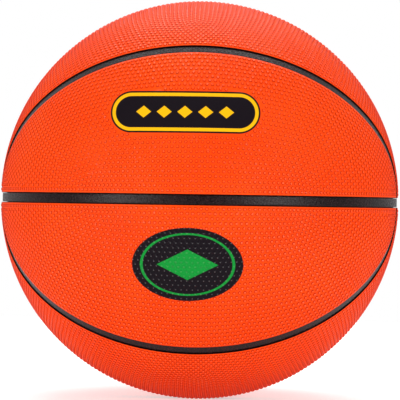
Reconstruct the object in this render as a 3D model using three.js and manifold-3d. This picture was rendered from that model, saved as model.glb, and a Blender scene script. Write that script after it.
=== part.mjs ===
// Basketball of size 7: an air bladder with its valve, a thread winding, a carcass in two cups,
// and a cover of eight panels with black rubber strips in the channels between them.
// Millimetres, +Z up, ball centre at the origin. The front loop faces -Y, the valve is on the back.
import * as THREE from 'three';
import { mergeVertices } from 'three/addons/utils/BufferGeometryUtils.js';
import Module from 'manifold-3d';

const wasm = await Module();
wasm.setup();

const { Vector3 } = THREE;
const radians = THREE.MathUtils.degToRad;

// Cover
const ballRadius = 120.5;
const panelThickness = 1.5;
const panelLip = 0.9; // radius of the rounded edge along the channels
const fitGap = 0.3; // clearance between pieces that touch

// Channels
const channelWidth = 5.8;
const channelDepth = 0.8; // from the cover's surface down to the black strip
const stripBevel = 0.3;

// Course of the front and back loops
const loopTilt = 45.3; // slope of the long arcs in degrees, seen from the side
const outerPanelEnd = 15.2; // width of an outer panel's end at the equator
const loopSquareness = 4; // how squarely the long arcs turn down to the equator, 2 is an ellipse
const loopBendWeight = 0.5; // how much closer the loop's points stand where it bends

// Inner layers
const carcassThickness = 0.5;
const windingThickness = 0.5;
const bladderThickness = 0.8;

// Valve, in the middle of the strip panel above the back loop
const stemRadius = 4.5;
const stemRecess = 0.6; // from the cover's surface down to the stem's flat end
const boreRadius = 2.6;
const counterboreRadius = 3.7;
const counterboreDepth = 1.4;
const flangeRadius = 14;
const flangeThickness = 1.6;
const patchRadius = 20;
const patchThickness = 0.8;
const tubeLength = 12; // from the flange's underside into the bladder
const tubeEndRadius = 3.7;

// Self-sealing core of the valve
const barbRadius = 3.3;
const barbLength = 1.6;
const barbTipRadius = 1.8;
const barbTipLength = 2.4;
const entryRadius = 1.3;
const entryFunnel = 1.5;
const needleRadius = 0.9;
const needleDepth = 9;

// Facet counts
const alongSteps = 24;
const acrossSteps = 5;
const equatorSteps = 60;
const roundSteps = 24;
const seatSteps = 3;
const cupSteps = 6;

const halfChannel = channelWidth / 2;
const coverInside = ballRadius - panelThickness;

// Angle from the loop's middle to where it crosses the equator
const loopReach = Math.PI / 2 - (outerPanelEnd + channelWidth) / ballRadius;

// Closed mesh facing out: equal corners are merged and collapsed triangles dropped
function closeGeometry(geometry) {
  const bare = new THREE.BufferGeometry();
  bare.setAttribute('position', geometry.getAttribute('position'));
  bare.setIndex(geometry.index);
  const merged = mergeVertices(bare, 1e-4);
  const kept = [];
  for (let start = 0; start < merged.index.count; start += 3) {
    const [a, b, c] = merged.index.array.slice(start, start + 3);
    if (a !== b && b !== c && c !== a) kept.push(a, b, c);
  }
  const facesIn = signedVolume(merged.getAttribute('position'), kept) < 0;
  merged.setIndex(facesIn ? kept.reverse() : kept);
  return merged;
}

function signedVolume(position, index) {
  const corners = [new Vector3(), new Vector3(), new Vector3()];
  let volume = 0;
  for (let start = 0; start < index.length; start += 3) {
    corners.forEach((corner, place) => corner.fromBufferAttribute(position, index[start + place]));
    volume += corners[0].dot(corners[1].clone().cross(corners[2])) / 6;
  }
  return volume;
}

function geometryFromTriangles(triangles) {
  return closeGeometry(new THREE.BufferGeometry().setFromPoints(triangles));
}

function addQuad(triangles, a, b, c, d) {
  triangles.push(a, b, c, a, c, d);
}

function toSolid(geometry) {
  const vertProperties = new Float32Array(geometry.getAttribute('position').array);
  const triVerts = new Uint32Array(geometry.index.array);
  return new wasm.Manifold(new wasm.Mesh({ numProp: 3, vertProperties, triVerts }));
}

function cutGeometry(body, tool) {
  const result = toSolid(closeGeometry(body)).subtract(toSolid(closeGeometry(tool))).getMesh();
  const geometry = new THREE.BufferGeometry();
  geometry.setAttribute('position', new THREE.BufferAttribute(result.vertProperties, 3));
  geometry.setIndex(new THREE.BufferAttribute(result.triVerts, 1));
  return closeGeometry(geometry);
}

// Centre lines of the channels, as directions from the ball's centre. The turn runs from 0 on the
// +X side to PI on the -X side: over the top, or past the front on the equator.
function loopDirection(turn) {
  const reach = Math.abs(Math.cos(turn)) / Math.tan(loopReach);
  const rise = Math.abs(Math.sin(turn)) / Math.tan(radians(loopTilt));
  const spread = (reach ** loopSquareness + rise ** loopSquareness) ** (1 / loopSquareness);
  const polar = Math.atan2(1, spread);
  const side = Math.sin(polar) * Math.cos(turn);
  return new Vector3(side, -Math.cos(polar), Math.sin(polar) * Math.sin(turn));
}

function meridianDirection(turn) {
  return new Vector3(Math.cos(turn), 0, Math.sin(turn));
}

function equatorDirection(turn) {
  return new Vector3(Math.cos(turn), -Math.sin(turn), 0);
}

// Direction beside a centre line, at a distance along the ball's surface. Positive distances lie
// towards the front, and below the equator.
function directionBeside(centreLine, turn, distance) {
  const step = 1e-4;
  const centre = centreLine(turn);
  const along = centreLine(turn + step).sub(centreLine(turn - step));
  const across = centre.clone().cross(along).normalize();
  const angle = distance / ballRadius;
  return centre.multiplyScalar(Math.cos(angle)).addScaledVector(across, Math.sin(angle));
}

// Turn at which the line beside a centre line stands at a height above the equator
function turnAtHeight(centreLine, distance, height) {
  let low = 0;
  let high = Math.PI / 4;
  for (let pass = 0; pass < 50; pass += 1) {
    const middle = (low + high) / 2;
    const level = directionBeside(centreLine, middle, distance).z;
    if (level < Math.sin(height / ballRadius)) low = middle;
    else high = middle;
  }
  return low;
}

// Turns of the points on a centre line, closer together where it bends
function spreadTurns(centreLine) {
  const samples = 720;
  const place = (sample) => centreLine(sample / samples * Math.PI);
  const effort = [0];
  for (let sample = 1; sample <= samples; sample += 1) {
    const back = place(sample).sub(place(sample - 1));
    const ahead = place(sample + 1).sub(place(sample));
    effort.push(effort[sample - 1] + back.length() + loopBendWeight * back.angleTo(ahead));
  }
  const turns = [];
  for (let step = 0; step <= alongSteps; step += 1) {
    const wanted = effort[samples] * step / alongSteps;
    const next = Math.max(1, effort.findIndex((value) => value >= wanted));
    const share = (wanted - effort[next - 1]) / (effort[next] - effort[next - 1]);
    turns.push((next - 1 + share) / samples * Math.PI);
  }
  return turns;
}

const loopTurns = spreadTurns(loopDirection);

// Line beside a centre line, from the +X side to the -X side, cut off at a height over the equator
function lineBeside(centreLine, distance, height) {
  const start = turnAtHeight(centreLine, distance, height);
  const first = directionBeside(centreLine, start, distance);
  const line = [first];
  for (let step = 1; step < alongSteps; step += 1) {
    const even = start + (Math.PI - 2 * start) * step / alongSteps;
    const turn = centreLine === loopDirection ? loopTurns[step] : even;
    line.push(directionBeside(centreLine, turn, distance));
  }
  line.push(new Vector3(-first.x, first.y, first.z));
  return line;
}

// Line over the equator channel, between the two ends of another line
function lineOverEquator(ends, distance) {
  const start = Math.atan2(-ends[0].y, ends[0].x);
  const line = [ends[0]];
  for (let step = 1; step < alongSteps; step += 1) {
    const turn = start + (Math.PI - 2 * start) * step / alongSteps;
    line.push(directionBeside(equatorDirection, turn, -distance));
  }
  line.push(ends[alongSteps]);
  return line;
}

function directionBetween(from, to, share) {
  const angle = from.angleTo(to);
  if (angle < 1e-6) return from.clone();
  const point = from.clone().multiplyScalar(Math.sin((1 - share) * angle));
  return point.addScaledVector(to, Math.sin(share * angle)).normalize();
}

function sheetBetween(oneLine, otherLine) {
  return oneLine.map((direction, column) => {
    const row = [];
    for (let step = 0; step <= acrossSteps; step += 1) {
      row.push(directionBetween(direction, otherLine[column], step / acrossSteps));
    }
    return row;
  });
}

// Directions of a front upper panel's surface, drawn in by an inset from the channels' edges.
// The inner panel lies between the loop and the equator, the outer one between loop and meridian.
function innerPanelSheet(inset) {
  const edge = halfChannel + inset;
  const above = lineBeside(loopDirection, edge, edge);
  return sheetBetween(above, lineOverEquator(above, edge));
}

function outerPanelSheet(inset) {
  const edge = halfChannel + inset;
  const above = lineBeside(meridianDirection, edge, edge);
  return sheetBetween(above, lineBeside(loopDirection, -edge, edge));
}

function sheetAtRadius(sheet, radius) {
  return sheet.map((row) => row.map((direction) => direction.clone().multiplyScalar(radius)));
}

function rimOfSheet(sheet) {
  const last = sheet.length - 1;
  const side = sheet.map((row) => row[0]);
  const otherSide = sheet.map((row) => row[acrossSteps]).reverse();
  return [...side, ...sheet[last].slice(1, -1), ...otherSide, ...sheet[0].slice(1, -1).reverse()];
}

function eachCell(sheet, visit) {
  for (let i = 0; i < alongSteps; i += 1) {
    for (let j = 0; j < acrossSteps; j += 1) {
      visit(sheet[i][j], sheet[i + 1][j], sheet[i + 1][j + 1], sheet[i][j + 1]);
    }
  }
}

// Panel: the outer sheet, its rounded edge, the wall down to the carcass, and the inner sheet
function panelGeometry(sheetAtInset) {
  const halfRounded = panelLip * (1 - Math.SQRT1_2);
  const outside = sheetAtRadius(sheetAtInset(panelLip), ballRadius);
  const inside = sheetAtRadius(sheetAtInset(0), coverInside);
  const rims = [
    outside,
    sheetAtRadius(sheetAtInset(halfRounded), ballRadius - halfRounded),
    sheetAtRadius(sheetAtInset(0), ballRadius - panelLip),
    inside,
  ].map(rimOfSheet);
  const triangles = [];
  eachCell(outside, (a, b, c, d) => addQuad(triangles, a, b, c, d));
  eachCell(inside, (a, b, c, d) => addQuad(triangles, d, c, b, a));
  for (let rim = 1; rim < rims.length; rim += 1) {
    const upper = rims[rim - 1];
    const lower = rims[rim];
    upper.forEach((point, place) => {
      const next = (place + 1) % upper.length;
      addQuad(triangles, upper[next], point, lower[place], lower[next]);
    });
  }
  return geometryFromTriangles(triangles);
}

// Smallest distance from the ball's centre to the flat facets of a panel's inner sheet
function facetReach(sheet) {
  let reach = coverInside;
  eachCell(sheetAtRadius(sheet, coverInside), (a, b, c, d) => {
    [[d, c, b], [d, b, a]].forEach((corners) => {
      const nearest = new THREE.Triangle(...corners).closestPointToPoint(new Vector3(), new Vector3());
      reach = Math.min(reach, nearest.length());
    });
  });
  return reach;
}

// Section of a black strip: distance from its centre line, and radius from the ball's centre
function stripSection() {
  const half = halfChannel - fitGap;
  const top = ballRadius - channelDepth;
  return [
    [-half, coverInside],
    [half, coverInside],
    [half, top - stripBevel],
    [half - stripBevel, top],
    [stripBevel - half, top],
    [-half, top - stripBevel],
  ];
}

function joinSectionLines(lines, triangles) {
  const stations = lines[0].length;
  for (let station = 0; station + 1 < stations; station += 1) {
    lines.forEach((line, place) => {
      const next = lines[(place + 1) % lines.length];
      addQuad(triangles, line[station], line[station + 1], next[station + 1], next[station]);
    });
  }
}

// Strip over the top whose ends stand against the equator strip
function archStripGeometry(centreLine) {
  const lines = stripSection().map(([distance, radius]) => {
    const line = lineBeside(centreLine, distance, halfChannel);
    return line.map((direction) => direction.clone().multiplyScalar(radius));
  });
  const triangles = [];
  joinSectionLines(lines, triangles);
  for (let place = 1; place + 1 < lines.length; place += 1) {
    triangles.push(lines[0][0], lines[place][0], lines[place + 1][0]);
    triangles.push(lines[0][alongSteps], lines[place + 1][alongSteps], lines[place][alongSteps]);
  }
  return geometryFromTriangles(triangles);
}

function equatorStripGeometry() {
  const lines = stripSection().map(([distance, radius]) => {
    const line = [];
    for (let step = 0; step <= equatorSteps; step += 1) {
      const turn = (step % equatorSteps) / equatorSteps * 2 * Math.PI;
      line.push(directionBeside(equatorDirection, turn, distance).multiplyScalar(radius));
    }
    return line;
  });
  const triangles = [];
  joinSectionLines(lines, triangles);
  return geometryFromTriangles(triangles);
}

// Layers under the cover, each clear of the one outside it
const carcassRadius = Math.min(...[innerPanelSheet(0), outerPanelSheet(0)].map(facetReach)) - fitGap;
const windingRadius = carcassRadius - carcassThickness - fitGap;
const bladderRadius = windingRadius - windingThickness - fitGap;
const patchOutside = bladderRadius - bladderThickness - fitGap;
const flangeOutside = patchOutside - patchThickness - fitGap;
const valveHoleRadius = stemRadius + fitGap;
const seatAngle = Math.asin(patchRadius / patchOutside);

// Body turned about the valve's axis, which is local +Z. Profile points are [radius, height].
function turnedGeometry(profile) {
  const points = profile.map(([radius, height]) => new THREE.Vector2(radius, height));
  return closeGeometry(new THREE.LatheGeometry(points, roundSteps).rotateX(Math.PI / 2));
}

function evenAngles(from, to, steps) {
  return Array.from({ length: steps + 1 }, (_, step) => from + (to - from) * step / steps);
}

function arcPoints(radius, angles) {
  return angles.map((angle) => [radius * Math.sin(angle), radius * Math.cos(angle)]);
}

// Arc from the rim of the valve's hole, in fine steps over the valve's seat, to an end angle
function valveSideArc(radius, end) {
  const seat = evenAngles(Math.asin(valveHoleRadius / radius), seatAngle, seatSteps);
  return arcPoints(radius, [...seat, ...evenAngles(seatAngle, end, cupSteps).slice(1)]);
}

function farSideArc(radius, start) {
  return arcPoints(radius, evenAngles(start, Math.PI, cupSteps));
}

// The carcass is split halfway between the valve and the far pole
function valveCupGeometry() {
  const split = (Math.PI - fitGap / carcassRadius) / 2;
  const outer = valveSideArc(carcassRadius, split);
  const inner = valveSideArc(carcassRadius - carcassThickness, split);
  return turnedGeometry([...outer, ...inner.reverse(), outer[0]]);
}

function plainCupGeometry() {
  const split = (Math.PI + fitGap / carcassRadius) / 2;
  const outer = farSideArc(carcassRadius, split);
  const inner = farSideArc(carcassRadius - carcassThickness, split);
  return turnedGeometry([...outer.reverse(), ...inner]);
}

function shellGeometry(radius, thickness) {
  const arc = (at) => [...valveSideArc(at, Math.PI / 2), ...farSideArc(at, Math.PI / 2).slice(1)];
  return turnedGeometry([...arc(radius).reverse(), ...arc(radius - thickness)]);
}

// Valve: its stem passes out through all layers, its flange lies inside the bladder
function discArc(radius, innerEdge, outerEdge, steps) {
  return arcPoints(radius, evenAngles(Math.asin(innerEdge / radius), Math.asin(outerEdge / radius), steps));
}

const stemTop = ballRadius - stemRecess;
const flangeInside = flangeOutside - flangeThickness;
const tubeEnd = flangeInside - tubeLength;

function valvePatchGeometry() {
  const outer = discArc(patchOutside, valveHoleRadius, patchRadius, seatSteps);
  const inner = discArc(patchOutside - patchThickness, valveHoleRadius, patchRadius, seatSteps);
  return turnedGeometry([...outer, ...inner.reverse(), outer[0]]);
}

function valveHousingGeometry() {
  const profile = [
    [boreRadius, tubeEnd],
    [tubeEndRadius, tubeEnd],
    ...discArc(flangeInside, stemRadius, flangeRadius, seatSteps - 1),
    ...discArc(flangeOutside, stemRadius, flangeRadius, seatSteps - 1).reverse(),
    [stemRadius, stemTop],
    [counterboreRadius, stemTop],
    [counterboreRadius, stemTop - counterboreDepth],
    [boreRadius, stemTop - counterboreDepth],
    [boreRadius, tubeEnd],
  ];
  return turnedGeometry(profile);
}

function valveCoreGeometry() {
  const shank = boreRadius - fitGap;
  const head = counterboreRadius - fitGap;
  const headUnderside = stemTop - counterboreDepth + fitGap;
  const barbTop = tubeEnd - fitGap;
  const barbBottom = barbTop - barbLength;
  return turnedGeometry([
    [0, barbBottom - barbTipLength],
    [barbTipRadius, barbBottom - barbTipLength],
    [barbRadius, barbBottom],
    [barbRadius, barbTop],
    [shank, barbTop],
    [shank, headUnderside],
    [head, headUnderside],
    [head, stemTop],
    [entryRadius, stemTop],
    [needleRadius, stemTop - entryFunnel],
    [needleRadius, stemTop - needleDepth],
    [0, stemTop - needleDepth - needleRadius],
  ]);
}

// The back upper outer panel is the front one turned about Z, so its hole is cut on the front side
const valveTilt = radians((loopTilt + 90) / 2);
const valveDirection = new Vector3(0, Math.cos(valveTilt), Math.sin(valveTilt));

function valvePanelGeometry(panel) {
  const hole = new THREE.CylinderGeometry(valveHoleRadius, valveHoleRadius, ballRadius / 4, roundSteps);
  const outward = new Vector3(0, -valveDirection.y, valveDirection.z);
  hole.applyQuaternion(new THREE.Quaternion().setFromUnitVectors(new Vector3(0, 1, 0), outward));
  hole.translate(...outward.multiplyScalar(ballRadius));
  return cutGeometry(panel, hole);
}

function makePiece(name, geometry, finish) {
  geometry.computeVertexNormals();
  const piece = new THREE.Mesh(geometry, new THREE.MeshStandardMaterial(finish));
  piece.name = name;
  return piece;
}

const orangeRubber = { color: 0xe8480f, roughness: 0.5, metalness: 0 };
const blackRubber = { color: 0x262226, roughness: 0.45, metalness: 0 };
const carcassRubber = { color: 0x3a3634, roughness: 0.8, metalness: 0 };
const nylonThread = { color: 0xe6e2d6, roughness: 0.7, metalness: 0 };
const butylRubber = { color: 0x1c1c1e, roughness: 0.6, metalness: 0 };
const valveRubber = { color: 0x33302f, roughness: 0.55, metalness: 0 };

// Each quarter of the cover is the front upper one turned half round about an axis of the ball
const quarters = [
  { name: 'front_upper', turn: [0, 0, 0] },
  { name: 'front_lower', turn: [0, Math.PI, 0] },
  { name: 'back_upper', turn: [0, 0, Math.PI] },
  { name: 'back_lower', turn: [Math.PI, 0, 0] },
];

const ball = new THREE.Group();
const innerPanel = panelGeometry(innerPanelSheet);
const outerPanel = panelGeometry(outerPanelSheet);
const valvePanel = valvePanelGeometry(outerPanel);
const loopStrip = archStripGeometry(loopDirection);
quarters.forEach(({ name, turn }) => {
  const outer = name === 'back_upper' ? valvePanel : outerPanel;
  const pieces = [
    makePiece(`panel_${name}_inner`, innerPanel, orangeRubber),
    makePiece(`panel_${name}_outer`, outer, orangeRubber),
    makePiece(`channel_loop_${name}`, loopStrip, blackRubber),
  ];
  pieces.forEach((piece) => piece.rotation.set(...turn));
  ball.add(...pieces);
});

const meridianStrip = archStripGeometry(meridianDirection);
const lowerMeridian = makePiece('channel_meridian_lower', meridianStrip, blackRubber);
lowerMeridian.rotation.y = Math.PI;
ball.add(makePiece('channel_meridian_upper', meridianStrip, blackRubber), lowerMeridian);
ball.add(makePiece('channel_equator', equatorStripGeometry(), blackRubber));

// Everything that is turned about the valve's axis
const valveAxis = new THREE.Group();
valveAxis.quaternion.setFromUnitVectors(new Vector3(0, 0, 1), valveDirection);
valveAxis.add(
  makePiece('carcass_valve_half', valveCupGeometry(), carcassRubber),
  makePiece('carcass_plain_half', plainCupGeometry(), carcassRubber),
  makePiece('thread_winding', shellGeometry(windingRadius, windingThickness), nylonThread),
  makePiece('bladder', shellGeometry(bladderRadius, bladderThickness), butylRubber),
  makePiece('valve_patch', valvePatchGeometry(), butylRubber),
  makePiece('valve_housing', valveHousingGeometry(), valveRubber),
  makePiece('valve_core', valveCoreGeometry(), valveRubber),
);
ball.add(valveAxis);

export default ball;
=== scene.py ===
import math

import bmesh
import bpy
import numpy as np
from mathutils import Matrix, Quaternion, Vector
from mathutils.kdtree import KDTree


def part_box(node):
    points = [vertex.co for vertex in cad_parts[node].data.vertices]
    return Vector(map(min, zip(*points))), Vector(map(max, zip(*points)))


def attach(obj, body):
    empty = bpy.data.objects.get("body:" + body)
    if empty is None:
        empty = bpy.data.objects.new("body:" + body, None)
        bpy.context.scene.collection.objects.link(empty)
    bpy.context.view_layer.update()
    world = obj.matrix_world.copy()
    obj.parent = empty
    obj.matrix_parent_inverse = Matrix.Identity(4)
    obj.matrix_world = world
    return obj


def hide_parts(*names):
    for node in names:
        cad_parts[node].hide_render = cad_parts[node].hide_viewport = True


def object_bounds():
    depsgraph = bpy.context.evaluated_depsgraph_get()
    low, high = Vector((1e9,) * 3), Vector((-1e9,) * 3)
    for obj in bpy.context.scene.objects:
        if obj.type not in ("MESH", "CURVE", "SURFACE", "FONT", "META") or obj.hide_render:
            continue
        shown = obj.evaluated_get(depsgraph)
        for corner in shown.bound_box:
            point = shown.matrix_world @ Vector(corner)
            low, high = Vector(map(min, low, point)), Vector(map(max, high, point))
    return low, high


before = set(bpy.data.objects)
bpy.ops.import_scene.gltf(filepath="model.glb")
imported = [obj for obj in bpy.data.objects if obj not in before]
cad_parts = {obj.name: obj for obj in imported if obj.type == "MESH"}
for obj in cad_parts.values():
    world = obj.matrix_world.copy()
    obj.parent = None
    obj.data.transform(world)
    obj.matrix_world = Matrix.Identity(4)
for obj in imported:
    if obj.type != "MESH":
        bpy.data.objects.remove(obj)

cad_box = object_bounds()


# The view of the photograph: at the ball's middle from nine and a half radii away, a little to the
# right of its front, so that the front loop nears the edge on the left, and held slightly askew.
view_distance = 1.144
view_yaw = math.radians(1.75)
view_pitch = math.radians(0.05)
view_roll = math.radians(0.86)
photo_half = 200.0
ball_middle_px = 199.75
silhouette_radius_px = 198.7
silhouette_radius = 0.12068

eye = Vector((math.sin(view_yaw), -math.cos(view_yaw), -math.tan(view_pitch))).normalized()
camera = bpy.data.objects.new("camera", bpy.data.cameras.new("camera"))
bpy.context.scene.collection.objects.link(camera)
bpy.context.scene.camera = camera
camera.location = eye * view_distance
camera.rotation_mode = "QUATERNION"
camera.rotation_quaternion = (-eye).to_track_quat("-Z", "Y") @ Quaternion((0, 0, 1), view_roll)
silhouette_slope = math.tan(math.asin(silhouette_radius / view_distance))
half_frame_slope = silhouette_slope * photo_half / silhouette_radius_px
camera.data.lens = camera.data.sensor_width / 2 / half_frame_slope
camera.data.shift_x = (photo_half - ball_middle_px) / (2 * photo_half)


# Cover: eight panels of orange rubber, cut from sheet, laid on the carcass and moulded together
# with it in a hot mould, which gives them their round pebbles. The panels' edges are rounded
# down into the channels, and the pebbles nearest to a channel follow it.
panel_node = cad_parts["panel_front_upper_inner"]
cover_radius = max(vertex.co.length for vertex in panel_node.data.vertices)
cover_inside = min(vertex.co.length for vertex in panel_node.data.vertices)
fit_gap = 0.0003
half_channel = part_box("channel_equator")[1].z + fit_gap
loop_tilt = math.radians(45.3)
outer_panel_end = 0.0152
loop_reach = math.pi / 2 - (outer_panel_end + 2 * half_channel) / cover_radius
loop_squareness = 4

pebble_height = 0.00046
pebble_radius = 0.00108
pebble_spacing = 0.00296
pebble_shoulder = 0.66
shoulder_height = 0.78
twelve_sided = 0.18
first_row = 0.0020
least_spacing = 0.00246
spacing_pull = 0.12
crowding_push = 0.5
joined_under = 0.74
split_over = 1.38
lip = 0.0004
lip_turns = [math.radians(angle) for angle in (35, 65, 90)]
land_radius = cover_radius - 0.00015
course_step = 0.0001
spare_sheet = 0.3


def loop_line(turn):
    reach = abs(math.cos(turn)) / math.tan(loop_reach)
    rise = abs(math.sin(turn)) / math.tan(loop_tilt)
    spread = (reach ** loop_squareness + rise ** loop_squareness) ** (1 / loop_squareness)
    polar = math.atan2(1, spread)
    side = math.sin(polar)
    return Vector((side * math.cos(turn), -math.cos(polar), side * math.sin(turn)))


def meridian_line(turn):
    return Vector((math.cos(turn), 0, math.sin(turn)))


def equator_line(turn):
    return Vector((math.cos(turn), -math.sin(turn), 0))


def beside(line, turn, distance):
    """Direction at a distance beside a channel's middle; a positive one lies to the front or below."""
    step = 1e-4
    middle = line(turn)
    across = middle.cross(line(turn + step) - line(turn - step)).normalized()
    angle = distance / cover_radius
    return middle * math.cos(angle) + across * math.sin(angle)


def turn_at_height(line, distance, height):
    """Turn at which the line beside a channel's middle stands at a height above the equator."""
    low, high = 0.0, math.pi / 4
    for _ in range(40):
        middle = (low + high) / 2
        if beside(line, middle, distance).z * cover_radius < height:
            low = middle
        else:
            high = middle
    return low


def course(line, distance, start, end):
    """Fine steps along the line beside a channel's middle, from one turn to another."""
    steps = max(2, round(abs(end - start) * cover_radius / course_step))
    return [beside(line, start + (end - start) * step / steps, distance) for step in range(steps + 1)]


def arch(line, distance, height):
    start = turn_at_height(line, distance, height)
    return course(line, distance, start, math.pi - start)


def equator_between(one, other, height):
    turns = [math.atan2(-end.y, end.x) for end in (one, other)]
    return course(equator_line, -height, *turns)


def inner_outline(inset):
    """Outline of the panel inside the front loop, above the equator, and its corners."""
    edge = half_channel + inset
    above = arch(loop_line, edge, edge)
    corners = [above[0], above[-1]]
    return above + equator_between(*corners, edge), corners


def outer_outline(inset):
    """Outline of the panel between the front loop and the meridian, and its corners."""
    edge = half_channel + inset
    above = arch(meridian_line, edge, edge)
    below = arch(loop_line, -edge, edge)
    ends = [equator_between(above[end], below[end], edge) for end in (0, -1)]
    return above + below + ends[0] + ends[1], [above[0], above[-1], below[0], below[-1]]


def tree_of(directions, radius=cover_radius):
    tree = KDTree(len(directions))
    for place, direction in enumerate(directions):
        tree.insert(direction * radius, place)
    tree.balance()
    return tree


loop_tree = tree_of(course(loop_line, 0, 0, math.pi))


def room_beside_loop(point):
    """Distance to the loop's middle, positive on the loop's inner side."""
    turn = math.atan2(point.z, point.x)
    gap = loop_tree.find(point)[2]
    return gap if point.y < loop_line(turn).y * cover_radius else -gap


def inner_room(point):
    return min(room_beside_loop(point), point.z)


def outer_room(point):
    return min(-room_beside_loop(point), point.z, -point.y)


def pebble_sheet(room, outline):
    """Thin sheet with a corner for every pebble: rows of a six-fold pattern, drawn to the outline."""
    sheet = bmesh.new()
    bmesh.ops.create_icosphere(sheet, subdivisions=1, radius=cover_radius)
    sheet.edges.ensure_lookup_table()
    one, other = (corner.co for corner in sheet.edges[0].verts)
    up, along = (one + other).normalized(), (other - one).normalized()
    sheet.transform(Matrix((along.cross(up), along, up)).to_4x4())
    for _ in range(2):
        bmesh.ops.subdivide_edges(sheet, edges=sheet.edges, cuts=6, use_grid_fill=True)
        for corner in sheet.verts:
            corner.co = corner.co.normalized() * cover_radius
        away = [corner for corner in sheet.verts
                if max(corner.co.y, -corner.co.z) > spare_sheet * cover_radius]
        bmesh.ops.delete(sheet, geom=away, context="VERTS")
    least = half_channel + lip - pebble_spacing / 2
    outside = [corner for corner in sheet.verts if room(corner.co) < least]
    bmesh.ops.delete(sheet, geom=outside, context="VERTS")
    relax(sheet, outline)
    return sheet


def relax(sheet, outline):
    """Spaces the corners evenly, with the outermost on the lip and the next on the first row.

    Pebbles that stand closer than the least spacing are pushed apart harder, so that they stay whole.
    """
    rim_course, rim_corners = outline(lip)
    rim_tree, row_tree = tree_of(rim_course), tree_of(outline(first_row)[0])
    rounds, steps = 6, 40
    for stage in range(rounds):
        sheet.verts.index_update()
        rim = [corner.index for corner in sheet.verts if corner.is_boundary]
        row = {edge.other_vert(corner).index for corner in sheet.verts if corner.is_boundary
               for edge in corner.link_edges} - set(rim)
        links = np.array([[corner.index for corner in edge.verts] for edge in sheet.edges])
        between_pebbles = ~np.isin(links, rim).any(axis=1)[:, None]
        places = np.array([corner.co for corner in sheet.verts])
        for _ in range(steps):
            reach = places[links[:, 1]] - places[links[:, 0]]
            length = np.maximum(np.linalg.norm(reach, axis=1)[:, None], 1e-5)
            crowding = np.minimum(length / least_spacing - 1, 0) * between_pebbles
            pull = reach * ((1 - pebble_spacing / length) * spacing_pull + crowding * crowding_push)
            np.add.at(places, links[:, 0], pull)
            np.add.at(places, links[:, 1], -pull)
            places *= cover_radius / np.linalg.norm(places, axis=1)[:, None]
            for index in rim:
                places[index] = rim_tree.find(places[index])[0]
            for index in row:
                places[index] = row_tree.find(places[index])[0]
            for direction in rim_corners:
                wanted = np.array(direction) * cover_radius
                nearest = min(rim, key=lambda index: np.abs(places[index] - wanted).sum())
                places[nearest] = wanted
        for corner, place in zip(sheet.verts, places):
            corner.co = place
        if stage + 1 < rounds:
            even_out(sheet)
        inside = [edge for edge in sheet.edges if not edge.is_boundary]
        bmesh.ops.beautify_fill(sheet, faces=sheet.faces, edges=inside, method="ANGLE")


def even_out(sheet):
    """Joins corners that stand too close, and adds one where two stand too far apart."""
    taken, close = set(), []
    for edge in sorted(sheet.edges, key=lambda edge: edge.calc_length()):
        one, other = edge.verts
        around = {link.other_vert(end) for end in edge.verts for link in end.link_edges}
        if edge.calc_length() > joined_under * pebble_spacing:
            break
        if one.is_boundary == other.is_boundary and not around & taken:
            taken |= around
            close.append(edge)
    bmesh.ops.collapse(sheet, edges=close)
    wide = [edge for edge in sheet.edges if edge.calc_length() > split_over * pebble_spacing]
    bmesh.ops.subdivide_edges(sheet, edges=wide, cuts=1)
    bmesh.ops.triangulate(sheet, faces=sheet.faces)


def pebbled_panel(sheet, outline, is_smooth=lambda point: False):
    """Closed panel from a sheet: lip, wall and underside, then a dome at every corner of a pebble."""
    panel = sheet.copy()
    skin = list(panel.faces)
    rim = [edge for edge in panel.edges if edge.is_boundary]
    seats = [corner for corner in panel.verts if not corner.is_boundary and not is_smooth(corner.co)]
    underside = bmesh.ops.duplicate(panel, geom=skin)["geom"]
    turned = [face for face in underside if isinstance(face, bmesh.types.BMFace)]
    under_corners = [corner for corner in underside if isinstance(corner, bmesh.types.BMVert)]
    bmesh.ops.scale(panel, vec=(cover_inside / cover_radius,) * 3, verts=under_corners)
    bmesh.ops.reverse_faces(panel, faces=turned)
    top_corners = {corner for face in skin for corner in face.verts}
    bmesh.ops.scale(panel, vec=(land_radius / cover_radius,) * 3, verts=list(top_corners))
    rings = [(lip * (1 - math.sin(turn)), land_radius - lip * (1 - math.cos(turn))) for turn in lip_turns]
    courses = []
    for inset, radius in rings + [(0, cover_inside)]:
        directions, corner_directions = outline(inset)
        courses.append((tree_of(directions, radius), [direction * radius for direction in corner_directions]))
    courses.append((tree_of([corner.co for corner in under_corners if corner.is_boundary], 1), []))
    for tree, wanted_corners in courses:
        grown = bmesh.ops.extrude_edge_only(panel, edges=rim)["geom"]
        rim = [edge for edge in grown if isinstance(edge, bmesh.types.BMEdge)]
        fresh = [corner for corner in grown if isinstance(corner, bmesh.types.BMVert)]
        for corner in fresh:
            corner.co = tree.find(corner.co)[0]
        for wanted in wanted_corners:
            nearest = min(fresh, key=lambda corner: (corner.co - wanted).length)
            nearest.co = wanted
    bmesh.ops.remove_doubles(panel, verts=fresh + under_corners, dist=1e-6)
    raise_pebbles(panel, seats)
    return panel


def raise_pebbles(panel, seats):
    domes = bmesh.ops.bevel(
        panel, geom=seats, offset=pebble_radius, offset_type="OFFSET", segments=2,
        profile=twelve_sided, affect="VERTICES", clamp_overlap=False, material=-1)["faces"]
    bmesh.ops.inset_region(
        panel, faces=domes, thickness=pebble_radius * (1 - pebble_shoulder),
        depth=pebble_height * shoulder_height, use_even_offset=True, use_boundary=True)
    inner = set(domes)
    crowns = {corner for face in domes for corner in face.verts if inner.issuperset(corner.link_faces)}
    for corner in crowns:
        corner.co = corner.co.normalized() * (land_radius + pebble_height)


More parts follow.
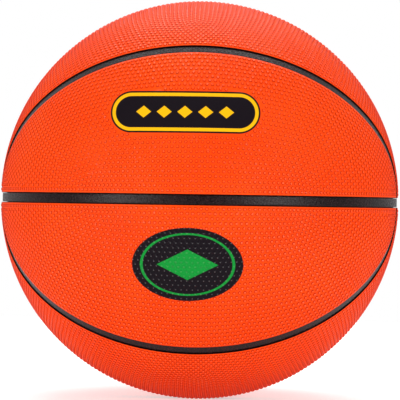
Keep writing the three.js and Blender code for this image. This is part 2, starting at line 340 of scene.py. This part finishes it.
def finish_mesh(name, made, turn=Matrix.Identity(4)):
    mesh = bpy.data.meshes.new(name)
    made.to_mesh(mesh)
    mesh.transform(turn)
    mesh.shade_smooth()
    mesh.set_sharp_from_angle(angle=math.radians(50))
    piece = bpy.data.objects.new(name, mesh)
    bpy.context.scene.collection.objects.link(piece)
    return piece


class Reading:
    """A number read over a surface; sums of readings add the Math nodes that work them out."""

    def __init__(self, finish, socket):
        self.finish, self.socket = finish, socket

    def sum(self, operation, *terms, clamp=False):
        return self.finish.node("Math", {"operation": operation, "use_clamp": clamp}, *terms)

    def __add__(self, other):
        return self.sum("ADD", self, other)

    def __sub__(self, other):
        return self.sum("SUBTRACT", self, other)

    def __rsub__(self, other):
        return self.sum("SUBTRACT", other, self)

    def __mul__(self, other):
        return self.sum("MULTIPLY", self, other)

    def __truediv__(self, other):
        return self.sum("DIVIDE", self, other)

    def __pow__(self, other):
        return self.sum("POWER", self, other)

    def __abs__(self):
        return self.sum("ABSOLUTE", self)

    __radd__, __rmul__ = __add__, __mul__

    def most(self, other):
        return self.sum("MAXIMUM", self, other)

    def share(self, start, end):
        """0 where the reading is at start or before it, 1 where it is at end or past it."""
        return self.sum("MULTIPLY", self - start, 1 / (end - start), clamp=True)


class Finish:
    """A material with one Principled shader, and the nodes that feed it."""

    def __init__(self, name):
        self.material = bpy.data.materials.new(name)
        self.material.use_nodes = True
        self.tree = self.material.node_tree
        self.shader = self.tree.nodes["Principled BSDF"]
        self.place = self.node("TexCoord", {}, output="Object")

    def node(self, kind, settings, *terms, output=0, **named):
        node = self.tree.nodes.new("ShaderNode" + kind)
        for setting, value in settings.items():
            setattr(node, setting, value)
        for socket, term in [*enumerate(terms), *named.items()]:
            self.feed(node.inputs[socket], term)
        return Reading(self, node.outputs[output])

    def feed(self, socket, term):
        if isinstance(term, Reading):
            self.tree.links.new(term.socket, socket)
        else:
            socket.default_value = term

    def blend(self, share, colour, other):
        mixed = self.node("Mix", {"data_type": "RGBA"}, output=2)
        inputs = mixed.socket.node.inputs
        for socket, term in ((0, share), (6, colour), (7, other)):
            self.feed(inputs[socket], term)
        return mixed

    def noise(self, scale, detail=2.0, roughness=0.5):
        settings = {"noise_dimensions": "3D"}
        return self.node("TexNoise", settings, Vector=self.place, Scale=scale, Detail=detail,
                         Roughness=roughness)

    def relief(self, height, distance, strength=1.0):
        bump = self.node("Bump", {}, Strength=strength, Distance=distance, Height=height)
        self.paint("Normal", bump)

    def paint(self, socket, term):
        self.feed(self.shader.inputs[socket], term)


orange = (0.97, 0.072, 0.005, 1)
deep_orange = (0.94, 0.058, 0.003, 1)
# Painted highlight: the pebbles' tips are coloured paler.
painted_tip_highlight = (1.0, 0.120, 0.014, 1)
# Painted shade: the pebbles' flanks are coloured dark red.
painted_flank_shade = (0.50, 0.009, 0.001, 1)
channel_black = (0.005, 0.002, 0.0025, 1)
black_from = land_radius - 0.00005
black_edge = 0.00002
land_gloss = 0.03
cover_roughness = 0.45
grain_roughness = 0.10
ink_smoothness = 0.05


def cover_rubber(name, print_on=None):
    """Orange rubber with a fine grain, painted shade in dark red on the pebbles' flanks, and glossy tips with
    a pale painted highlight.

    The panel's edge, which goes down into the channel, is black.
    """
    rubber = Finish(name)
    cloud = rubber.noise(26, 3).share(0.35, 0.7)
    grain = rubber.noise(2600, 2)
    height = rubber.node("VectorMath", {"operation": "LENGTH"}, rubber.place, output="Value")
    raised = (height - land_radius) / pebble_height
    flank_shade_share = raised.share(0.03, 0.20) * raised.share(0.80, 0.60)
    tip = raised.share(0.80, 0.95)
    colour = rubber.blend(cloud, orange, deep_orange)
    # Painted shade: dark red on the pebbles' flanks.
    colour = rubber.blend(flank_shade_share, colour, painted_flank_shade)
    # Painted highlight: a paler colour on the pebbles' tips. The gloss from the same mask is real.
    colour = rubber.blend(tip, colour, painted_tip_highlight)
    roughness = cover_roughness + grain_roughness * grain
    gloss = land_gloss + (1 - land_gloss) * tip
    if print_on:
        colour, ink = print_on(rubber, colour)
        roughness = roughness - ink_smoothness * ink
    wall = height.share(black_from + black_edge, black_from - black_edge)
    rubber.paint("Base Color", rubber.blend(wall, colour, channel_black))
    rubber.paint("Roughness", roughness)
    rubber.paint("Specular IOR Level", 0.02)
    rubber.paint("Coat Weight", gloss)
    rubber.paint("Coat Roughness", 0.10)
    rubber.paint("Coat IOR", 1.8)
    rubber.relief(grain, 0.000006, 0.8)
    return rubber.material


# The panels are made for the front upper quarter; a half turn takes them to each of the others.
quarter_places = {
    "front_upper": Matrix.Identity(4),
    "front_lower": Matrix.Rotation(math.pi, 4, "Y"),
    "back_upper": Matrix.Rotation(math.pi, 4, "Z"),
    "back_lower": Matrix.Rotation(math.pi, 4, "X"),
}
plain_cover = cover_rubber("pebbled_rubber")
inner_sheet = pebble_sheet(inner_room, inner_outline)
outer_sheet = pebble_sheet(outer_room, outer_outline)
inner_panel = pebbled_panel(inner_sheet, inner_outline)
outer_panel = pebbled_panel(outer_sheet, outer_outline)


def lay_panel(made, quarter, kind, material):
    panel = finish_mesh(f"cover_{quarter}_{kind}", made, quarter_places[quarter])
    panel.data.materials.append(material)
    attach(panel, "root")
    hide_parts(f"panel_{quarter}_{kind}")


for quarter in ("back_upper", "back_lower"):
    lay_panel(inner_panel, quarter, "inner", plain_cover)
for quarter in ("front_upper", "front_lower", "back_lower"):
    lay_panel(outer_panel, quarter, "outer", plain_cover)


# Upper front panel: the mould is smooth where its print goes, and the print is screened on in
# black and yellow ink. It is a plain long plate with a yellow line round it and a row of lozenges.
plate_middle = (-0.0056, 0.0485)
plate_half_length = 0.0418
plate_half_height = 0.0118
plate_edge = 0.0010
plate_line = 0.0019
lozenge_pitch = 0.0115
lozenge_half_length = 0.0042
lozenge_half_height = 0.0034
lozenge_row = 0.0300
ink_black = (0.010, 0.007, 0.010, 1)
ink_yellow = (0.93, 0.47, 0.006, 1)
ink_green = (0.008, 0.29, 0.040, 1)
ink_edge = 0.00012


def from_middle(finish, middle):
    across, _, up = (finish.node("SeparateXYZ", {}, finish.place, output=axis) for axis in "XYZ")
    return across - middle[0], up - middle[1]


def within(distance):
    """1 inside an outline, where the distance to it is below 0, with a thin soft edge."""
    return distance.share(ink_edge, -ink_edge)


def plate_distance(across, up):
    past_end = (abs(across) - (plate_half_length - plate_half_height)).most(0)
    return (past_end * past_end + up * up) ** 0.5 - plate_half_height


def plate_print(rubber, colour):
    across, up = from_middle(rubber, plate_middle)
    distance = plate_distance(across, up)
    line = within(distance + plate_edge) - within(distance + plate_edge + plate_line)
    step = across.sum("PINGPONG", across, lozenge_pitch / 2)
    lozenge = step / lozenge_half_length + abs(up) / lozenge_half_height
    lozenges = lozenge.share(1.04, 0.96) * (abs(across)).share(lozenge_row, lozenge_row - ink_edge)
    colour = rubber.blend(within(distance), colour, ink_black)
    colour = rubber.blend(line.most(lozenges), colour, ink_yellow)
    return colour, within(distance)


def under_plate(point):
    across, up = abs(point.x - plate_middle[0]), point.z - plate_middle[1]
    past_end = max(0.0, across - (plate_half_length - plate_half_height))
    return point.y < 0 and math.hypot(past_end, up) < plate_half_height + pebble_radius


plate_panel = pebbled_panel(inner_sheet, inner_outline, under_plate)
lay_panel(plate_panel, "front_upper", "inner", cover_rubber("pebbled_rubber_with_plate", plate_print))


# Lower front panel: its print lies over the pebbles, so that each of them sparkles in it. It is
# a plain black oval with a green ring and a green lozenge.
oval_middle = (-0.0028, -0.0358)
oval_half_length = 0.0308
oval_half_height = 0.0204
ring_share = 0.86
ring_width = 0.05
ring_edge = 0.01
oval_lozenge = (0.0170, 0.0085)


def oval_print(rubber, colour):
    across, up = from_middle(rubber, oval_middle)
    along, rise = across / oval_half_length, up / oval_half_height
    share = (along * along + rise * rise) ** 0.5
    oval = share.share(1.006, 0.994)
    ring = share.share(ring_share, ring_share - ring_edge) - share.share(
        ring_share - ring_width, ring_share - ring_width - ring_edge)
    lozenge = (abs(across) / oval_lozenge[0] + abs(up) / oval_lozenge[1]).share(1.015, 0.985)
    colour = rubber.blend(oval, colour, ink_black)
    return rubber.blend(ring.most(lozenge), colour, ink_green), oval


lay_panel(inner_panel, "front_lower", "inner", cover_rubber("pebbled_rubber_with_oval", oval_print))


# Valve panel: the back's upper outer panel has a round hole for the valve, and the mould keeps
# the rubber round it smooth.
valve_axis = Vector((0, 0.38026, 0.92488))
valve_hole = 0.0048
valve_land = 0.0088
hole_steps = 300
valve_place = quarter_places["back_upper"].inverted() @ valve_axis


def round_valve(distance):
    """Circle of directions at a distance from the valve's axis, where the panel is first made."""
    start = Quaternion(Vector((1, 0, 0)), distance / cover_radius) @ valve_place
    return [Quaternion(valve_place, 2 * math.pi * step / hole_steps) @ start for step in range(hole_steps)]


def valve_distance(point):
    return (point - valve_place * point.length).length


def valve_room(point):
    return min(outer_room(point), half_channel + valve_distance(point) - valve_hole)


def valve_outline(inset):
    edge, corners = outer_outline(inset)
    return edge + round_valve(valve_hole + inset), corners


valve_sheet = pebble_sheet(valve_room, valve_outline)
hole_edges = [edge for edge in valve_sheet.edges
              if edge.is_boundary and valve_distance(edge.verts[0].co) < valve_land]
bmesh.ops.subdivide_edges(valve_sheet, edges=hole_edges, cuts=4)
hole_tree = tree_of(round_valve(valve_hole + lip))
for corner in valve_sheet.verts:
    if corner.is_boundary and valve_distance(corner.co) < valve_land:
        corner.co = hole_tree.find(corner.co)[0]
bmesh.ops.triangulate(valve_sheet, faces=[face for face in valve_sheet.faces if len(face.verts) > 3])
valve_panel = pebbled_panel(valve_sheet, valve_outline, lambda point: valve_distance(point) < valve_land)
lay_panel(valve_panel, "back_upper", "outer", plain_cover)


# Channel strips: narrow black rubber strips laid between the panels before moulding. Their
# rounded edges leave a fine dark line along each panel, and the mould gives them a fine grain.
equator_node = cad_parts["channel_equator"]
strip_top = max(vertex.co.length for vertex in equator_node.data.vertices)
strip_half = half_channel - fit_gap
strip_round = 0.0003
strip_steps = 240


def strip_section(side, up):
    """Outline of a strip's section at a point of the ball: side is across it and up is outward."""
    section = bmesh.new()
    bmesh.ops.create_grid(section, x_segments=6, y_segments=1, size=0.5)
    for corner in section.verts:
        height = strip_top - cover_inside if corner.co.y > 0 else 0
        corner.co = side * (corner.co.x * 2 * strip_half) + up * (cover_inside + height)
    upper_corners = [corner for corner in section.verts
                     if len(corner.link_edges) == 2 and corner.co.dot(up) > cover_inside + strip_round]
    bmesh.ops.bevel(section, geom=upper_corners, offset=strip_round, segments=3, profile=0.5,
                    affect="VERTICES", material=-1)
    across = [edge for edge in section.edges if not edge.is_boundary]
    bmesh.ops.delete(section, geom=list(section.faces), context="FACES_ONLY")
    bmesh.ops.delete(section, geom=across, context="EDGES")
    return section


def equator_strip():
    strip = strip_section(Vector((0, 0, 1)), Vector((1, 0, 0)))
    bmesh.ops.spin(strip, geom=strip.verts[:] + strip.edges[:], axis=(0, 0, 1), cent=(0, 0, 0),
                   angle=2 * math.pi, steps=2 * strip_steps, use_merge=True)
    bmesh.ops.remove_doubles(strip, verts=strip.verts, dist=1e-6)
    bmesh.ops.recalc_face_normals(strip, faces=strip.faces)
    return strip


def arch_strip(line):
    """Strip over the top whose ends stand above the equator strip, laid along a channel's middle."""
    strip = strip_section(Vector((0, -1, 0)), Vector((1, 0, 0)))
    bmesh.ops.spin(strip, geom=strip.verts[:] + strip.edges[:], axis=(0, -1, 0), cent=(0, 0, 0),
                   angle=math.pi, steps=strip_steps)
    bmesh.ops.holes_fill(strip, edges=strip.edges)
    for corner in strip.verts:
        share = math.atan2(max(corner.co.z, 0.0), corner.co.x) / math.pi
        distance = -corner.co.y
        radius = math.hypot(corner.co.x, corner.co.z)
        start = turn_at_height(line, distance, half_channel)
        turn = start + (math.pi - 2 * start) * share
        corner.co = beside(line, turn, distance) * radius
    bmesh.ops.recalc_face_normals(strip, faces=strip.faces)
    return strip


worn_black = (0.022, 0.009, 0.010, 1)
channel_rubber = Finish("grained_black_rubber")
channel_grain = channel_rubber.noise(1000, 3, 0.7)
channel_wear = channel_grain.share(0.36, 0.64)
channel_rubber.paint("Base Color", channel_rubber.blend(channel_wear, channel_black, worn_black))
channel_rubber.paint("Roughness", 0.18 + 0.16 * channel_grain)
channel_rubber.paint("Specular IOR Level", 0.22)
channel_rubber.relief(channel_grain, 0.00022, 1.0)

strips = {"equator": (equator_strip(), Matrix.Identity(4))}
meridian = arch_strip(meridian_line)
strips["meridian_upper"] = (meridian, Matrix.Identity(4))
strips["meridian_lower"] = (meridian, quarter_places["front_lower"])
loop = arch_strip(loop_line)
for quarter, turn in quarter_places.items():
    strips[f"loop_{quarter}"] = (loop, turn)
for name, (made, turn) in strips.items():
    strip = finish_mesh(f"strip_{name}", made, turn)
    strip.data.materials.append(channel_rubber.material)
    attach(strip, "root")
    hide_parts(f"channel_{name}")


# Valve: a soft rubber body whose flange lies inside the bladder and whose stem passes out through
# all the layers, and a plug in its bore that closes itself round the pump's needle.
stem_radius = 0.0045
flange_thickness = 0.0016
tube_length = 0.012
stem_top = cover_radius - 0.0006
bore_radius = 0.0026
seat_radius = 0.0037
seat_depth = 0.0014
flange_radius = 0.014
flange_outside = 0.114276
flange_inside = flange_outside - flange_thickness
tube_end = flange_inside - tube_length
barb_radius = 0.0033
barb_length = 0.0016
barb_top = tube_end - fit_gap
barb_bottom = barb_top - barb_length
nose_radius = 0.0018
nose_length = 0.0024
nose_end = barb_bottom - nose_length
mouth_radius = 0.0013
mouth_depth = 0.0015
entry_radius = 0.0009
entry_depth = 0.009
entry_point = 0.0099
edge_round = 0.00012
valve_steps = 72


def dish(radius, start, end, steps=5):
    """Points of a spherical cap's section from one distance from the axis to another."""
    spans = [start + (end - start) * step / steps for step in range(steps + 1)]
    return [(span, math.sqrt(radius * radius - span * span)) for span in spans]


def turned_on_valve_axis(profile, closed):
    """Body turned about the valve's axis from a profile of radii and heights, its edges softened."""
    body = bmesh.new()
    corners = [body.verts.new((radius, 0, height)) for radius, height in profile]
    for one, other in zip(corners, corners[1:] + corners[:1] if closed else corners[1:]):
        body.edges.new((one, other))
    bmesh.ops.spin(body, geom=body.verts[:] + body.edges[:], axis=(0, 0, 1), cent=(0, 0, 0),
                   angle=2 * math.pi, steps=valve_steps, use_merge=True)
    bmesh.ops.remove_doubles(body, verts=body.verts, dist=1e-6)
    bmesh.ops.recalc_face_normals(body, faces=body.faces)
    sharp = [edge for edge in body.edges if edge.calc_face_angle(0) > math.radians(40)]
    bmesh.ops.bevel(body, geom=sharp, offset=edge_round, segments=2, profile=0.5, affect="EDGES",
                    clamp_overlap=True, material=-1)
    body.transform(valve_axis.to_track_quat("Z", "Y").to_matrix().to_4x4())
    return body


housing_profile = [
    (seat_radius, tube_end),
    *dish(flange_inside, stem_radius, flange_radius),
    *dish(flange_outside, flange_radius, stem_radius),
    (stem_radius, stem_top),
    (seat_radius, stem_top),
    (seat_radius, stem_top - seat_depth),
    (bore_radius, stem_top - seat_depth),
    (bore_radius, tube_end),
]
plug_profile = [
    (0, nose_end),
    (nose_radius, nose_end),
    (barb_radius, barb_bottom),
    (barb_radius, barb_top),
    (bore_radius - fit_gap, barb_top),
    (bore_radius - fit_gap, stem_top - seat_depth + fit_gap),
    (seat_radius - fit_gap, stem_top - seat_depth + fit_gap),
    (seat_radius - fit_gap, stem_top),
    (mouth_radius, stem_top),
    (entry_radius, stem_top - mouth_depth),
    (entry_radius, stem_top - entry_depth),
    (0, stem_top - entry_point),
]


def dull_rubber(name, dark, light, cloud_scale, grain_scale, roughness, grain_depth):
    rubber = Finish(name)
    cloud = rubber.noise(cloud_scale, 3).share(0.3, 0.7)
    grain = rubber.noise(grain_scale, 3, 0.6)
    rubber.paint("Base Color", rubber.blend(cloud, dark, light))
    rubber.paint("Roughness", roughness + 0.12 * grain)
    rubber.paint("Specular IOR Level", 0.4)
    rubber.relief(grain, grain_depth, 0.6)
    return rubber.material


valve_rubber = dull_rubber(
    "valve_body_rubber", (0.030, 0.026, 0.025, 1), (0.046, 0.040, 0.038, 1), 180, 2400, 0.42, 0.00003)
for name, profile, closed in (("housing", housing_profile, True), ("core", plug_profile, False)):
    body = finish_mesh(f"valve_body_{name}", turned_on_valve_axis(profile, closed))
    body.data.materials.append(valve_rubber)
    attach(body, "root")
    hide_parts(f"valve_{name}")


# Carcass: two cups of calendered rubber sheet, which the cover is moulded on to. Rollers give the
# sheet its fine grain, and talc its grey bloom.
carcass_rubber = dull_rubber(
    "calendered_rubber", (0.036, 0.031, 0.029, 1), (0.062, 0.056, 0.053, 1), 35, 1300, 0.62, 0.00005)
for half in ("valve", "plain"):
    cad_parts[f"carcass_{half}_half"].material_slots[0].material = carcass_rubber


# Bladder and the patch under the valve: butyl rubber, smooth from its mould and slightly cloudy.
butyl_rubber = dull_rubber(
    "smooth_butyl", (0.012, 0.012, 0.014, 1), (0.022, 0.022, 0.025, 1), 22, 700, 0.36, 0.00004)
for name in ("bladder", "valve_patch"):
    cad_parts[name].material_slots[0].material = butyl_rubber


# Thread winding: one long nylon thread wound round the bladder in great circles that keep
# changing their direction, and bound by latex. Whichever lay is uppermost shows.
thread_pitch = 0.0011
lay_edge = 0.004
thread_pale = (0.80, 0.76, 0.68, 1)
thread_shade = (0.34, 0.31, 0.26, 1)
lay_directions = ((0.3, 0.2, 0.9), (0.9, -0.3, 0.2), (-0.4, 0.85, 0.3), (0.6, 0.6, -0.5), (-0.7, 0.3, 0.6))
thread = Finish("wound_nylon")
uppermost = thread.noise(30, 1)
ridges = None
for order, direction in enumerate(lay_directions):
    along = thread.node("VectorMath", {"operation": "DOT_PRODUCT"}, thread.place,
                        tuple(Vector(direction).normalized()), output="Value")
    ridge = thread.node("Math", {"operation": "PINGPONG"}, along, thread_pitch / 2) / (thread_pitch / 2)
    if ridges is None:
        ridges = ridge
        continue
    start = 0.30 + 0.4 * order / len(lay_directions)
    on_top = uppermost.share(start, start + lay_edge)
    ridges = ridges * (1 - on_top) + ridge * on_top
thread.paint("Base Color", thread.blend(ridges, thread_shade, thread_pale))
thread.paint("Roughness", 0.75 - 0.15 * ridges)
thread.relief(ridges, 0.0002, 0.9)
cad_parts["thread_winding"].material_slots[0].material = thread.material


# The photograph's studio: a white table that glows a little, a white sweep behind it in a dark
# room, one tall soft light on each side of the camera, and two above the ball: a long narrow one
# in front of it and a broad one behind it.
floor_depth = 0.0004
floor_mesh = bpy.data.meshes.new("floor")
floor_made = bmesh.new()
bmesh.ops.create_grid(floor_made, x_segments=1, y_segments=1, size=0.75)
bmesh.ops.translate(floor_made, vec=(0, 0, cad_box[0].z - floor_depth), verts=floor_made.verts)
floor_made.to_mesh(floor_mesh)
floor = bpy.data.objects.new("floor", floor_mesh)
bpy.context.scene.collection.objects.link(floor)
floor_paint = Finish("floor_paint")
seen = floor_paint.node("LightPath", {}, output="Is Camera Ray")
floor_paint.paint("Base Color", (0.80, 0.80, 0.80, 1))
floor_paint.paint("Roughness", 0.9)
floor_paint.paint("Specular IOR Level", 0.1)
glow = 0.28
floor_paint.paint("Emission Color", floor_paint.blend(seen, (glow, glow, glow, 1), (0.55, 0.55, 0.55, 1)))
floor_paint.paint("Emission Strength", 1.0)
floor_mesh.materials.append(floor_paint.material)

world = bpy.data.worlds.new("studio_air")
bpy.context.scene.world = world
world.use_nodes = True


class Air(Finish):
    """The world's nodes, built in the same way as a material's."""

    def __init__(self, world):
        self.tree = world.node_tree
        self.shader = self.tree.nodes["Background"]


air = Air(world)
seen, mirrored, through = (
    air.node("LightPath", {}, output=f"Is {kind} Ray") for kind in ("Camera", "Glossy", "Transmission"))
direction = air.node("TexCoord", {}, output="Generated")
behind, overhead = (air.node("SeparateXYZ", {}, direction, output=axis) for axis in "YZ")
towards_sweep = behind.share(-0.1, 0.35) * overhead.share(-0.2, 0.3)
ambient = 0.46
dark_room = 0.05
mirrored_air = dark_room + (1 - dark_room) * towards_sweep
strength = ambient + mirrored.most(through) * (mirrored_air - ambient)
air.paint("Color", (1, 1, 1, 1))
air.paint("Strength", seen.most(strength))


def softbox(name, azimuth, elevation, distance, width, height, radiance):
    """Soft light at an azimuth to the right of the camera, turned to the ball's middle."""
    turn, rise = math.radians(azimuth), math.radians(elevation)
    towards = Vector((math.sin(turn) * math.cos(rise), -math.cos(turn) * math.cos(rise), math.sin(rise)))
    light = bpy.data.lights.new(name, "AREA")
    light.shape, light.size, light.size_y = "RECTANGLE", width, height
    light.energy = radiance * math.pi * width * height
    lamp = bpy.data.objects.new(name, light)
    lamp.location = towards * distance
    lamp.rotation_mode = "QUATERNION"
    lamp.rotation_quaternion = (-towards).to_track_quat("-Z", "Y")
    bpy.context.scene.collection.objects.link(lamp)


softbox("left_softbox", -42, 6, 1.5, 0.32, 0.75, 10.2)
softbox("right_softbox", 44, 6, 1.5, 0.3, 0.75, 10.6)
softbox("front_softbox", 0, 66, 1.2, 0.9, 0.10, 13.0)
softbox("rear_softbox", 180, 62, 1.1, 1.0, 0.6, 5.0)

bpy.context.scene.view_settings.view_transform = "Standard"
